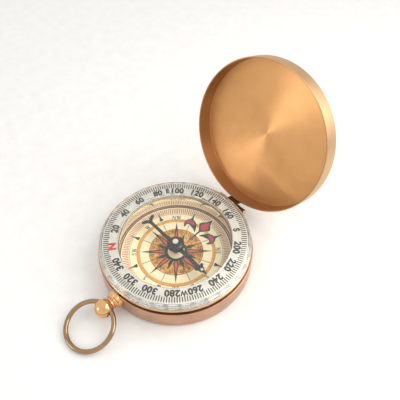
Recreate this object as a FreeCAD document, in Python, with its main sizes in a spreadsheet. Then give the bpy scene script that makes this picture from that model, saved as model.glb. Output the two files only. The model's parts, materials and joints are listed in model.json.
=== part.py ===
"""Pocket compass with a flip lid: a 50 mm round brass case with a turning degree bezel, a pivoted
needle over a printed card, a hinged lid, and a push crown that carries the bow ring.

Frame: origin at the bottom centre of the case, +Z up through the needle's pivot, +Y towards the lid
hinge, -Y towards the crown. Millimetres. The lid stands open and the bow ring lies on the surface
that the case stands on.
"""
import FreeCAD
import Part
import math
import os
import Sketcher

os.makedirs("parts", exist_ok=True)
doc = FreeCAD.newDocument("compass")

# ---------------------------------------------------------------------------------- sizes
SIZES = [
    # alias, millimetres or degrees
    ("case_radius", 25.0),
    ("case_wall", 0.7),
    ("case_height", 7.0),
    ("floor_thick", 0.8),
    ("base_round", 1.0),
    ("stem_bore_y", 22.0),
    ("stem_bore_length", 4.0),
    ("cutter_height", 20.0),
    # brass ring that fills the case mouth, with the bead that the lid closes around
    ("seat_bore", 20.1),
    ("seat_low", 5.6),
    ("groove_radius", 24.0),
    ("bead_low", 7.9),
    ("bead_top", 8.9),
    ("bead_radius", 24.6),
    ("bead_round", 0.48),
    ("seat_neck", 23.15),
    ("seat_top", 10.2),
    ("snap_height", 9.6),
    ("snap_wire", 0.25),
    ("snap_wire_angle", 350.0),
    ("snap_groove_half", 0.4),
    ("snap_groove_deep", 0.25),
    ("slot_half", 1.8),
    ("slot_length", 3.2),
    ("slot_y", 24.6),
    ("slot_low", 5.4),
    ("slot_top", 7.8),
    # housing that holds the card and the crystal
    ("housing_radius", 20.05),
    ("housing_bore", 18.25),
    ("housing_ledge", 17.2),
    ("housing_top", 10.3),
    ("gasket_bore", 18.62),
    ("gasket_radius", 18.93),
    ("crystal_seat", 18.95),
    ("crystal_low", 9.5),
    ("crystal_shelf", 9.45),
    ("crystal_radius", 18.6),
    ("plate_low", 2.4),
    ("plate_bore", 1.0),
    ("card_low", 3.2),
    ("card_top", 3.5),
    ("card_radius", 18.2),
    ("reflector_bore", 17.95),
    # clear turning bezel and its printed ring
    ("bezel_window", 18.3),
    ("bezel_skirt", 23.3),
    ("bezel_radius", 24.45),
    ("bezel_low", 9.05),
    ("bezel_side_top", 10.9),
    ("bezel_shoulder", 24.2),
    ("bezel_face", 23.4),
    ("bezel_top", 11.65),
    ("ring_low", 10.45),
    ("ring_top", 10.75),
    ("ring_radius", 23.2),
    ("grip_radius", 0.9),
    ("grip_centre", 25.05),
    ("grip_count", 36),
    # needle and pivot
    ("boss_radius", 0.98),
    ("boss_foot", 2.2),
    ("boss_low", 1.9),
    ("boss_top", 4.2),
    ("pin_radius", 0.45),
    ("pin_low", 2.1),
    ("pin_shoulder", 7.1),
    ("pin_tip", 7.95),
    ("blade_low", 6.6),
    ("blade_thick", 0.35),
    ("blade_half", 0.58),
    ("blade_hub", 2.47),
    ("blade_bore", 1.87),
    ("needle_turn", -2.0),
    ("cap_low", 6.2),
    ("cap_neck", 1.85),
    ("cap_radius", 2.75),
    ("cap_side_top", 8.3),
    ("cap_top", 9.05),
    ("cap_crown", 1.35),
    ("cap_bore", 1.08),
    ("cap_lean", 0.12),
    ("cap_side_drop", 0.55),
    ("cap_bevel", 0.45),
    ("cap_crown_drop", 0.2),
    ("jewel_radius", 1.05),
    ("jewel_mouth", 0.55),
    ("jewel_gap", 0.03),
    ("jewel_low", 7.6),
    ("jewel_top", 8.25),
    ("lume_cap", 0.93),
    ("lume_tip", 0.47),
    ("lume_thick", 0.1),
    ("lume_reach", 12.3),
    # lid and hinge
    ("lid_open", 110.26),
    ("lid_radius", 25.32),
    ("lid_wall", 0.5),
    ("lid_low", 7.2),
    ("lid_depth", 5.98),
    ("lid_round", 1.3),
    ("lid_inner_fillet", 0.2),
    ("lid_rim_fillet", 0.14),
    ("hinge_y", 26.55),
    ("hinge_z", 5.7),
    ("knuckle_radius", 1.0),
    ("knuckle_bore", 0.54),
    ("hinge_half", 5.7),
    ("lid_knuckle_half", 2.1),
    ("knuckle_gap", 0.15),
    ("hinge_pin", 0.5),
    ("pin_head", 0.95),
    ("pin_head_thick", 0.5),
    ("pin_head_round", 0.2),
    ("pin_head_gap", 0.02),
    ("pin_overlap", 0.1),
    ("block_y", 23.5),
    ("block_drop", 0.9),
    ("strip_width", 1.9),
    ("strip_height", 1.6),
    ("strip_drop", 1.2),
    ("leaf_top", 11.2),
    ("leaf_thick", 0.7),
    ("leaf_overlap", 0.4),
    # pendant, crown and bow
    ("stem_z", 4.2),
    ("stem_radius", 0.85),
    ("stem_end_y", 27.55),
    ("stem_gap", 0.03),
    ("stem_chamfer", 0.15),
    ("stem_socket_y", 26.8),
    ("stem_socket_deep", 0.8),
    ("pendant_root_y", 24.2),
    ("pendant_round", 0.25),
    ("pendant_slope", 0.22),
    ("pendant_flange", 2.9),
    ("pendant_flange_y", 26.1),
    ("pendant_waist", 2.2),
    ("pendant_waist_y", 26.85),
    ("pendant_mouth", 2.35),
    ("pendant_mouth_y", 26.98),
    ("pendant_bore", 0.92),
    ("socket_radius", 1.9),
    ("socket_y", 26.2),
    ("crown_radius", 3.05),
    ("crown_y", 29.9),
    ("crown_hub", 1.8),
    ("crown_hub_y", 26.85),
    ("bow_hole", 1.72),
    ("bow_hole_y", 29.35),
    ("bow_hole_z", 4.9),
    ("bow_hole_reach", 5.0),
    ("bow_radius", 7.57),
    ("bow_wire", 0.75),
    ("bow_near_z", 5.0),
    ("bow_lift", 0.02),
    ("bow_x", 0.9),
    ("bow_y", 36.25),
    ("bow_yaw", 3.0),
    # latch inside the case
    ("latch_inner", 22.3),
    ("latch_outer", 22.8),
    ("latch_low", 0.95),
    ("latch_high", 5.2),
    ("latch_sweep", 55.0),
    ("latch_past", 3.0),
    ("latch_half", 1.2),
    ("latch_nose", 24.72),
    ("latch_nose_low", 7.25),
    ("latch_nose_top", 7.7),
    ("latch_foot", 1.6),
    ("latch_foot_thick", 0.45),
    ("latch_rise_low", 3.0),
    ("latch_rise_gap", 0.06),
    ("screw_circle", 22.0),
    ("screw_radius", 0.7),
    ("screw_head", 1.2),
    ("screw_head_high", 0.6),
    ("screw_seat", 1.45),
    ("screw_overlap", 0.1),
    ("screw_clear", 0.05),
    ("screw_head_clear", 0.12),
    ("screw_cut_height", 5.0),
    ("screw_slot_long", 4.0),
    ("screw_slot_wide", 0.35),
    ("screw_slot_low", 0.35),
    ("screw_slot_deep", 0.4),
]

sheet = doc.addObject("Spreadsheet::Sheet", "Sizes")
for row, (alias, value) in enumerate(SIZES, start=1):
    sheet.set(f"A{row}", alias)
    sheet.set(f"B{row}", str(value))
    sheet.setAlias(f"B{row}", alias)
doc.recompute()
size = dict(SIZES)


def cell(expression):
    """Spell an expression in size names the way the document wants it."""
    words = expression.replace("(", " ( ").replace(")", " ) ").split()
    return " ".join("Sizes." + word if word in size else word for word in words)


def value_of(expression):
    """The same expression as a number, read from the sheet."""
    total = 0.0
    sign = 1.0
    for word in expression.split():
        if word in "+-":
            sign = 1.0 if word == "+" else -1.0
        else:
            total += sign * (getattr(sheet, word) if word in size else float(word))
            sign = 1.0
    return total


# ---------------------------------------------------------------------------------- helpers
def new_body(name):
    body = doc.addObject("PartDesign::Body", name)
    body.Label = name
    return body


def sketch_on(body, role, name):
    sketch = body.newObject("Sketcher::SketchObject", name)
    plane = next(item for item in body.Origin.OriginFeatures if item.Role == role)
    sketch.AttachmentSupport = [(plane, "")]
    sketch.MapMode = "FlatFace"
    return sketch


def pin_point(sketch, geometry, across, up):
    """Fix a line's start point at two expressions measured from the sketch's origin."""
    for kind, axis, expression in (("DistanceX", -2, across), ("DistanceY", -1, up)):
        if expression == "0":
            sketch.addConstraint(Sketcher.Constraint("PointOnObject", geometry, 1, axis))
            continue
        number = value_of(expression)
        index = sketch.addConstraint(Sketcher.Constraint(kind, -1, 1, geometry, 1, number))
        sketch.setExpression(f"Constraints[{index}]", cell(expression))


def closed_outline(sketch, corners):
    """A closed polygon whose corners are pairs of expressions."""
    spots = [FreeCAD.Vector(value_of(across), value_of(up), 0) for across, up in corners]
    count = len(corners)
    for index, start in enumerate(spots):
        sketch.addGeometry(Part.LineSegment(start, spots[(index + 1) % count]), False)
    for index in range(count):
        sketch.addConstraint(Sketcher.Constraint("Coincident", index, 2, (index + 1) % count, 1))
    for index, (across, up) in enumerate(corners):
        pin_point(sketch, index, across, up)


def turned(name, corners, plane="XZ_Plane"):
    """A body turned about the sketch's vertical axis."""
    body = new_body(name)
    sketch = sketch_on(body, plane, name + "_profile")
    closed_outline(sketch, corners)
    turn = body.newObject("PartDesign::Revolution", name + "_turn")
    turn.Profile = sketch
    turn.ReferenceAxis = (sketch, ["V_Axis"])
    turn.Angle = 360
    sketch.Visibility = False
    doc.recompute()
    return body


def circles_at(body, tests):
    """Names of the tip's round edges with the given (radius, height) in the turned profile."""
    names = []
    for index, edge in enumerate(body.Tip.Shape.Edges, start=1):
        if not isinstance(edge.Curve, Part.Circle):
            continue
        for radius, height in tests:
            level = max(edge.Curve.Center.z, -edge.Curve.Center.y, key=abs)
            if abs(edge.Curve.Radius - radius) < 1e-4 and abs(level - height) < 1e-4:
                names.append(f"Edge{index}")
    return names


def round_edges(body, name, radius, tests):
    """Round the circular edges that the tests find; radius is an expression."""
    names = circles_at(body, tests)
    if len(names) != len(tests):
        raise RuntimeError(f"{name}: found {len(names)} edges of {len(tests)}")
    base = body.Tip
    fillet = body.newObject("PartDesign::Fillet", name)
    fillet.Base = (base, names)
    fillet.Radius = value_of(radius)
    fillet.setExpression("Radius", cell(radius))
    doc.recompute()


def primitive(kind, name, **expressions):
    """A Part primitive whose sizes follow the sheet."""
    item = doc.addObject(kind, name)
    for field, expression in expressions.items():
        item.setExpression(field.replace("__", "."), cell(expression))
    item.recompute()
    return item


def boolean(kind, name, base, tool):
    item = doc.addObject(kind, name)
    item.Base = base
    item.Tool = tool
    item.Label = name
    doc.recompute()
    return item


def place(item, x="0", y="0", z="0"):
    for axis, expression in (("x", x), ("y", y), ("z", z)):
        if expression != "0":
            item.setExpression(f"Placement.Base.{axis}", cell(expression))


def solid_feature(name, shape, placement=FreeCAD.Placement()):
    feature = doc.addObject("Part::Feature", name)
    feature.Label = name
    feature.Shape = shape
    feature.Placement = placement
    return feature


LEAST_CUT = 1.0  # cubic millimetres
UP = FreeCAD.Vector(0, 0, 1)
ALONG_X = FreeCAD.Rotation(FreeCAD.Vector(0, 1, 0), 90)
OUTWARD = FreeCAD.Rotation(FreeCAD.Vector(1, 0, 0), 90)


# ---------------------------------------------------------------------------------- case
def case_cup():
    """Drawn brass cup with a rounded foot, a hole for the stem and a tapped screw hole."""
    cup = turned("case_cup_shell", [
        ("0", "0"),
        ("case_radius", "0"),
        ("case_radius", "case_height"),
        ("case_radius - case_wall", "case_height"),
        ("case_radius - case_wall", "floor_thick"),
        ("0", "floor_thick"),
    ])
    round_edges(cup, "case_foot_round", "base_round", [(size["case_radius"], 0.0)])
    bore = primitive("Part::Cylinder", "case_stem_bore", Radius="pendant_bore", Height="stem_bore_length")
    bore.Placement.Rotation = OUTWARD
    place(bore, y="0 - stem_bore_y", z="stem_z")
    return boolean("Part::Cut", "case_cup", cup, bore)


def bezel_seat_ring():
    """Brass ring in the case mouth: groove, rounded bead, and the neck that the bezel turns on."""
    seat = turned("bezel_seat_blank", [
        ("seat_bore", "seat_low"),
        ("case_radius - case_wall", "seat_low"),
        ("case_radius - case_wall", "case_height"),
        ("groove_radius", "case_height"),
        ("groove_radius", "bead_low"),
        ("bead_radius", "bead_low"),
        ("bead_radius", "bead_top"),
        ("seat_neck", "bead_top"),
        ("seat_neck", "snap_height - snap_groove_half"),
        ("seat_neck - snap_groove_deep", "snap_height - snap_groove_half"),
        ("seat_neck - snap_groove_deep", "snap_height + snap_groove_half"),
        ("seat_neck", "snap_height + snap_groove_half"),
        ("seat_neck", "seat_top"),
        ("seat_bore", "seat_top"),
    ])
    round_edges(seat, "bead_round_over", "bead_round",
                [(size["bead_radius"], size["bead_low"]), (size["bead_radius"], size["bead_top"])])
    slot = primitive("Part::Box", "latch_slot", Length="slot_half + slot_half", Width="slot_length",
                     Height="slot_top - slot_low")
    place(slot, x="0 - slot_half", y="0 - slot_y", z="slot_low")
    return boolean("Part::Cut", "bezel_seat_ring", seat, slot)


def dial_housing():
    """Ring that carries the card plate on a ledge and the crystal in its top step."""
    return turned("dial_housing", [
        ("housing_ledge", "floor_thick"),
        ("housing_radius", "floor_thick"),
        ("housing_radius", "housing_top"),
        ("crystal_seat", "housing_top"),
        ("crystal_seat", "crystal_shelf"),
        ("housing_bore", "crystal_shelf"),
        ("housing_bore", "plate_low"),
        ("housing_ledge", "plate_low"),
    ])


def washer(name, bore, radius, low, high):
    """Flat ring from a bore to an outer radius."""
    return turned(name, [(bore, low), (radius, low), (radius, high), (bore, high)])


def disc(name, radius, low, high):
    return turned(name, [("0", low), (radius, low), (radius, high), ("0", high)])


def pivot_boss():
    """Brass boss clamped through the card plate; the pivot pin is pressed into it."""
    return turned("pivot_boss", [
        ("pin_radius", "boss_low"),
        ("boss_foot", "boss_low"),
        ("boss_foot", "plate_low"),
        ("boss_radius", "plate_low"),
        ("boss_radius", "boss_top"),
        ("pin_radius", "boss_top"),
    ])


def pivot_pin():
    return turned("pivot_pin", [
        ("0", "pin_low"),
        ("pin_radius", "pin_low"),
        ("pin_radius", "pin_shoulder"),
        ("0", "pin_tip"),
    ])


# ---------------------------------------------------------------------------------- bezel
def clear_bezel():
    """Clear turning bezel: flat face over the printed ring, a skirt, and grip scallops."""
    bezel = turned("clear_bezel", [
        ("bezel_window", "ring_top"),
        ("bezel_skirt", "ring_top"),
        ("bezel_skirt", "snap_height + snap_wire"),
        ("bezel_skirt + snap_wire", "snap_height + snap_wire"),
        ("bezel_skirt + snap_wire", "snap_height - snap_wire"),
        ("bezel_skirt", "snap_height - snap_wire"),
        ("bezel_skirt", "bezel_low"),
        ("bezel_radius", "bezel_low"),
        ("bezel_shoulder", "bezel_side_top"),
        ("bezel_face", "bezel_top"),
        ("bezel_window", "bezel_top"),
    ])
    sketch = sketch_on(bezel, "XY_Plane", "grip_outline")
    middle = FreeCAD.Vector(size["grip_centre"], 0, 0)
    sketch.addGeometry(Part.Circle(middle, UP, size["grip_radius"]), False)
    sketch.addConstraint(Sketcher.Constraint("PointOnObject", 0, 3, -1))
    across = sketch.addConstraint(Sketcher.Constraint("DistanceX", -1, 1, 0, 3, middle.x))
    sketch.setExpression(f"Constraints[{across}]", cell("grip_centre"))
    radius = sketch.addConstraint(Sketcher.Constraint("Radius", 0, size["grip_radius"]))
    sketch.setExpression(f"Constraints[{radius}]", cell("grip_radius"))
    before = bezel.Shape.Volume
    pocket = bezel.newObject("PartDesign::Pocket", "grip_scallop")
    pocket.Profile = sketch
    pocket.Reversed = True
    pocket.Length = size["bezel_top"]
    pocket.setExpression("Length", cell("bezel_top"))
    doc.recompute()
    ring = bezel.newObject("PartDesign::PolarPattern", "grip_ring")
    ring.Originals = [pocket]
    ring.Axis = (sketch, ["N_Axis"])
    ring.Angle = 360
    ring.Occurrences = int(size["grip_count"])
    ring.setExpression("Occurrences", cell("grip_count"))
    bezel.Tip = ring
    doc.recompute()
    if bezel.Shape.Volume > before - LEAST_CUT:
        raise RuntimeError("the grip scallops cut nothing")
    return bezel


def bezel_snap_wire():
    """Split spring wire that keeps the bezel on its seat."""
    wire = primitive("Part::Torus", "bezel_snap_wire", Radius1="bezel_skirt", Radius2="snap_wire")
    wire.Angle3 = size["snap_wire_angle"]
    place(wire, z="snap_height")
    wire.Label = "bezel_snap_wire"
    return wire


# ---------------------------------------------------------------------------------- needle
def blade_outline():
    """Plan of the blade pointing along +X: barbed arrow in front, forked tail behind."""
    half = sheet.blade_half
    hub = sheet.blade_hub
    head = [(9.6, half), (9.0, 1.55), (9.75, 2.0), (11.3, 1.15), (12.35, 1.15), (12.75, 0.55)]
    tail = [(-11.2, half), (-12.6, 1.55), (-14.1, 2.25), (-14.5, 1.75), (-13.9, 0.95), (-12.9, 0.0)]
    waist = [(-2.4, 0.95), (-1.7, hub), (1.7, hub), (2.4, 0.95)]
    upper = [tail[4], tail[3], tail[2], tail[1], tail[0]] + waist + head
    lower = [(x, -y) for x, y in reversed(upper)]
    return upper + [(14.6, 0.0)] + lower + [tail[5]]


def needle_blade():
    """Blackened steel blade with a round hole for the cap's neck."""
    corners = [FreeCAD.Vector(x, y, 0) for x, y in blade_outline()]
    face = Part.Face(Part.makePolygon(corners + corners[:1]))
    blade = face.extrude(UP * sheet.blade_thick)
    hole = Part.makeCylinder(sheet.blade_bore, sheet.blade_thick)
    turn = FreeCAD.Rotation(UP, sheet.needle_turn)
    return solid_feature("needle_blade", blade.cut(hole),
                         FreeCAD.Placement(UP * sheet.blade_low, turn))


def needle_cap():
    """Black domed cap, flanged over the blade, with the jewel in its bore."""
    return turned("needle_cap", [
        ("cap_bore", "cap_low"),
        ("cap_neck", "cap_low"),
        ("cap_neck", "blade_low + blade_thick"),
        ("cap_radius", "blade_low + blade_thick"),
        ("cap_radius - cap_lean", "cap_side_top - cap_side_drop"),
        ("cap_radius - cap_bevel", "cap_side_top"),
        ("cap_crown + cap_bevel", "cap_top - cap_crown_drop"),
        ("cap_crown", "cap_top"),
        ("0", "cap_top"),
        ("0", "jewel_top"),
        ("cap_bore", "jewel_top"),
    ])


def pivot_jewel():
    """Cup jewel that rides on the pivot's point."""
    return turned("pivot_jewel", [
        ("jewel_mouth", "jewel_low"),
        ("jewel_radius", "jewel_low"),
        ("jewel_radius", "jewel_top"),
        ("0", "jewel_top"),
        ("0", "pin_tip + jewel_gap"),
    ])


def lume_dot(name, radius, reach, low):
    """Luminous paint dot; reach is its distance from the pivot along the needle."""
    turn = FreeCAD.Rotation(UP, sheet.needle_turn)
    dot = Part.makeCylinder(radius, sheet.lume_thick)
    spot = turn.multVec(FreeCAD.Vector(reach, 0, 0)) + UP * low
    return solid_feature(name, dot, FreeCAD.Placement(spot, turn))


# ---------------------------------------------------------------------------------- lid and hinge
def open_lid():
    """Placement that swings a piece drawn with the lid shut to where the lid stands open."""
    axis = FreeCAD.Vector(0, sheet.hinge_y, sheet.hinge_z)
    swing = FreeCAD.Rotation(FreeCAD.Vector(1, 0, 0), -sheet.lid_open)
    return FreeCAD.Placement(FreeCAD.Vector(0, 0, 0), swing, axis)


def lid_shell():
    """Spun brass lid: a shallow cup with a rounded outer edge and a softened rim."""
    lid = turned("lid_shell", [
        ("0", "lid_low + lid_depth"),
        ("0", "lid_low + lid_depth - lid_wall"),
        ("lid_radius - lid_wall", "lid_low + lid_depth - lid_wall"),
        ("lid_radius - lid_wall", "lid_low"),
        ("lid_radius", "lid_low"),
        ("lid_radius", "lid_low + lid_depth"),
    ])
    top = size["lid_low"] + size["lid_depth"]
    inner = size["lid_radius"] - size["lid_wall"]
    round_edges(lid, "lid_outer_round", "lid_round", [(size["lid_radius"], top)])
    round_edges(lid, "lid_inner_round", "lid_inner_fillet", [(inner, top - size["lid_wall"])])
    round_edges(lid, "lid_rim_round", "lid_rim_fillet",
                [(size["lid_radius"], size["lid_low"]), (inner, size["lid_low"])])
    lid.Placement = open_lid()
    return lid


def knuckle(low_x, high_x):
    """Tube along X about the hinge line."""
    start = FreeCAD.Vector(low_x, sheet.hinge_y, sheet.hinge_z)
    tube = Part.makeCylinder(sheet.knuckle_radius, high_x - low_x, start, FreeCAD.Vector(1, 0, 0))
    bore = Part.makeCylinder(sheet.knuckle_bore, high_x - low_x, start, FreeCAD.Vector(1, 0, 0))
    return tube, bore


def case_hinge_leaf():
    """Two case knuckles, each on a flat-topped block soldered to the case wall, tied by a strip."""
    low = sheet.hinge_z - sheet.block_drop
    inner = sheet.lid_knuckle_half + sheet.knuckle_gap
    wall = Part.makeCylinder(sheet.case_radius, sheet.cutter_height)
    leaf = None
    bores = []
    for low_x, high_x in ((-sheet.hinge_half, -inner), (inner, sheet.hinge_half)):
        tube, bore = knuckle(low_x, high_x)
        height = sheet.hinge_z + sheet.knuckle_radius - low
        block = Part.makeBox(high_x - low_x, sheet.hinge_y - sheet.block_y, height,
                             FreeCAD.Vector(low_x, sheet.block_y, low))
        bores.append(bore)
        leaf = tube.fuse(block) if leaf is None else leaf.fuse(tube.fuse(block))
    strip = Part.makeBox(2 * sheet.hinge_half, sheet.strip_width, sheet.strip_height,
                         FreeCAD.Vector(-sheet.hinge_half, sheet.block_y, low - sheet.strip_drop))
    leaf = leaf.fuse(strip).removeSplitter().cut(wall)
    for bore in bores:
        leaf = leaf.cut(bore)
    return solid_feature("case_hinge_leaf", leaf)


def lid_hinge_leaf():
    """Lid knuckle with a strap that runs up the outside of the lid wall."""
    half = sheet.lid_knuckle_half
    tube, bore = knuckle(-half, half)
    low_y = sheet.lid_radius - sheet.leaf_overlap
    strap = Part.makeBox(2 * half, sheet.leaf_thick + sheet.leaf_overlap, sheet.leaf_top - sheet.hinge_z,
                         FreeCAD.Vector(-half, low_y, sheet.hinge_z))
    lid = Part.makeCylinder(sheet.lid_radius, sheet.cutter_height)
    leaf = tube.fuse(strap).removeSplitter().cut(lid).cut(bore)
    return solid_feature("lid_hinge_leaf", leaf, open_lid())


def hinge_pin():
    """Pin through the knuckles, with a round head at the +X end."""
    length = 2 * sheet.hinge_half
    start = FreeCAD.Vector(-sheet.hinge_half, sheet.hinge_y, sheet.hinge_z)
    across = FreeCAD.Vector(1, 0, 0)
    shank = Part.makeCylinder(sheet.hinge_pin, length + sheet.pin_overlap, start, across)
    head_start = start + across * (length + sheet.pin_head_gap)
    head = Part.makeCylinder(sheet.pin_head, sheet.pin_head_thick, head_start, across)
    head = head.makeFillet(sheet.pin_head_round, [head.Edges[0]])
    return solid_feature("hinge_pin", shank.fuse(head).removeSplitter())


# ---------------------------------------------------------------------------------- crown and bow
def pendant():
    """Turned pendant on the case wall: wide flange, hollow waist, mouth for the crown's hub."""
    profile = turned("pendant_blank", [
        ("pendant_bore", "pendant_root_y"),
        ("pendant_flange", "pendant_root_y"),
        ("pendant_flange", "pendant_flange_y - pendant_round"),
        ("pendant_flange - pendant_round", "pendant_flange_y"),
        ("pendant_waist + pendant_round", "pendant_flange_y + pendant_slope"),
        ("pendant_waist", "pendant_waist_y - pendant_round"),
        ("pendant_mouth", "pendant_mouth_y"),
        ("socket_radius", "pendant_mouth_y"),
        ("socket_radius", "socket_y"),
        ("pendant_bore", "socket_y"),
    ], "XY_Plane")
    profile.Placement.Rotation = FreeCAD.Rotation(UP, 180)
    place(profile, z="stem_z")
    wall = primitive("Part::Cylinder", "pendant_wall_cut", Radius="case_radius",
                     Height="cutter_height")
    return boolean("Part::Cut", "pendant", profile, wall)


def crown_ball():
    """Ball with a rear hub; the bow passes through its cross hole."""
    ball = primitive("Part::Sphere", "crown_sphere", Radius="crown_radius")
    place(ball, y="0 - crown_y", z="stem_z")
    hub = primitive("Part::Cylinder", "crown_rear_hub", Radius="crown_hub",
                    Height="crown_y - crown_hub_y")
    hub.Placement.Rotation = OUTWARD
    place(hub, y="0 - crown_hub_y", z="stem_z")
    body = boolean("Part::Fuse", "crown_solid", ball, hub)
    hole = primitive("Part::Cylinder", "bow_hole_tool", Radius="bow_hole",
                     Height="bow_hole_reach + bow_hole_reach")
    hole.Placement.Rotation = ALONG_X
    place(hole, x="0 - bow_hole_reach", y="0 - bow_hole_y", z="bow_hole_z")
    drilled = boolean("Part::Cut", "crown_drilled", body, hole)
    socket = primitive("Part::Cylinder", "stem_socket", Radius="stem_radius", Height="stem_socket_deep")
    socket.Placement.Rotation = OUTWARD
    place(socket, y="0 - stem_socket_y", z="stem_z")
    return boolean("Part::Cut", "crown_ball", drilled, socket)


def crown_stem():
    """Stem from the crown's hub to the latch spring."""
    tip = sheet.latch_outer + sheet.stem_gap
    start = FreeCAD.Vector(0, -tip, sheet.stem_z)
    stem = Part.makeCylinder(sheet.stem_radius, sheet.stem_end_y - tip, start, FreeCAD.Vector(0, -1, 0))
    return solid_feature("crown_stem", stem.makeChamfer(sheet.stem_chamfer, [stem.Edges[2]]))


def bow_ring():
    """Round wire ring through the crown's cross hole, its far side on the ground."""
    wire = primitive("Part::Torus", "bow_ring", Radius1="bow_radius", Radius2="bow_wire")
    wire.Label = "bow_ring"
    rise = sheet.bow_near_z - sheet.bow_wire - sheet.bow_lift
    tilt = math.degrees(math.asin(rise / (2 * sheet.bow_radius)))
    lean = FreeCAD.Rotation(FreeCAD.Vector(1, 0, 0), tilt)
    yaw = FreeCAD.Rotation(UP, sheet.bow_yaw)
    middle = FreeCAD.Vector(sheet.bow_x, -sheet.bow_y, sheet.bow_near_z - rise / 2)
    wire.Placement = FreeCAD.Placement(middle, yaw.multiply(lean))
    return wire


# ---------------------------------------------------------------------------------- latch
def latch_spring():
    """Steel leaf along the case wall: a foot under its screw, and a nose that holds the lid's rim."""
    height = sheet.latch_high - sheet.latch_low
    start = 270.0 - sheet.latch_sweep
    sweep = sheet.latch_sweep + sheet.latch_past
    outer = Part.makeCylinder(sheet.latch_outer, height, UP * sheet.latch_low, UP, sweep)
    inner = Part.makeCylinder(sheet.latch_inner, height, UP * sheet.latch_low, UP, sweep)
    leaf = outer.cut(inner)
    leaf.rotate(FreeCAD.Vector(0, 0, 0), UP, start)
    angle = math.radians(start)
    spot = FreeCAD.Vector(math.cos(angle), math.sin(angle), 0) * sheet.screw_circle
    foot = Part.makeCylinder(sheet.latch_foot, sheet.latch_foot_thick, spot + UP * sheet.latch_low)
    foot_top = sheet.latch_low + sheet.latch_foot_thick
    rise_corner = FreeCAD.Vector(-sheet.latch_half, -sheet.latch_outer + sheet.latch_rise_gap,
                                 sheet.latch_rise_low)
    rise = Part.makeBox(2 * sheet.latch_half, sheet.latch_outer - sheet.latch_inner,
                        sheet.latch_nose_top - sheet.latch_rise_low, rise_corner)
    nose = Part.makeBox(2 * sheet.latch_half, sheet.latch_nose - sheet.latch_inner,
                        sheet.latch_nose_top - sheet.latch_nose_low,
                        FreeCAD.Vector(-sheet.latch_half, -sheet.latch_nose, sheet.latch_nose_low))
    hole = Part.makeCylinder(sheet.screw_radius + sheet.screw_clear, sheet.screw_cut_height, spot)
    head_room = Part.makeCylinder(sheet.screw_head + sheet.screw_head_clear, sheet.screw_cut_height,
                                  spot + UP * foot_top)
    solid = leaf.fuse(foot).fuse(rise).fuse(nose).cut(hole).cut(head_room)
    return solid_feature("latch_spring", solid.removeSplitter())


def latch_screw():
    """Slotted screw that holds the latch spring's foot to the case floor."""
    angle = math.radians(270.0 - sheet.latch_sweep)
    spot = FreeCAD.Vector(math.cos(angle), math.sin(angle), 0) * sheet.screw_circle
    seat = sheet.screw_seat
    shank = Part.makeCylinder(sheet.screw_radius, seat - sheet.floor_thick + sheet.screw_overlap,
                              spot + UP * sheet.floor_thick)
    head = Part.makeCylinder(sheet.screw_head, sheet.screw_head_high, spot + UP * seat)
    slot_corner = FreeCAD.Vector(-sheet.screw_slot_long / 2, -sheet.screw_slot_wide / 2,
                                 seat + sheet.screw_slot_low)
    slot = Part.makeBox(sheet.screw_slot_long, sheet.screw_slot_wide, sheet.screw_slot_deep,
                        spot + slot_corner)
    return solid_feature("latch_screw", shank.fuse(head).cut(slot).removeSplitter())


# ---------------------------------------------------------------------------------- assembly
def build_all():
    return [
        case_cup(),
        bezel_seat_ring(),
        dial_housing(),
        washer("card_plate", "plate_bore", "card_radius", "plate_low", "card_low"),
        washer("dial_card", "plate_bore", "card_radius", "card_low", "card_top"),
        washer("reflector_ring", "reflector_bore", "card_radius", "card_top", "crystal_low"),
        disc("crystal", "crystal_radius", "crystal_low", "housing_top"),
        washer("crystal_gasket", "gasket_bore", "gasket_radius", "crystal_low", "housing_top"),
        pivot_boss(),
        pivot_pin(),
        clear_bezel(),
        washer("degree_ring", "bezel_window", "ring_radius", "ring_low", "ring_top"),
        bezel_snap_wire(),
        needle_blade(),
        needle_cap(),
        pivot_jewel(),
        lume_dot("lume_dot_cap", sheet.lume_cap, 0.0, sheet.cap_top),
        lume_dot("lume_dot_tip", sheet.lume_tip, sheet.lume_reach,
                 sheet.blade_low + sheet.blade_thick),
        lid_shell(),
        case_hinge_leaf(),
        lid_hinge_leaf(),
        hinge_pin(),
        pendant(),
        crown_ball(),
        crown_stem(),
        bow_ring(),
        latch_spring(),
        latch_screw(),
    ]


def check_document():
    for item in doc.Objects:
        if "Invalid" in item.State or "Error" in item.State:
            raise RuntimeError(f"{item.Name} failed: {item.State}")


def export(items):
    for item in items:
        if item.Shape.isNull() or not item.Shape.isValid():
            raise RuntimeError(f"{item.Label} has no valid shape")
        item.Shape.exportStep(f"parts/{item.Label}.step")
        box = item.Shape.BoundBox
        print(f"{item.Label:18s} solids {len(item.Shape.Solids)} volume {item.Shape.Volume:9.2f} "
              f"y {box.YMin:7.2f} {box.YMax:7.2f} z {box.ZMin:6.2f} {box.ZMax:6.2f}")


pieces = build_all()
doc.recompute()
check_document()
export(pieces)
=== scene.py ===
"""Looks of the pocket compass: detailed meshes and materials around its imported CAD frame.

Outlines are in millimetres in the frame's own axes: +Z up, +Y towards the lid hinge. Shape turns them
into metres when it makes a piece.
"""
import json
import math

import bmesh
import bpy
from mathutils import Matrix, Vector


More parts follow.
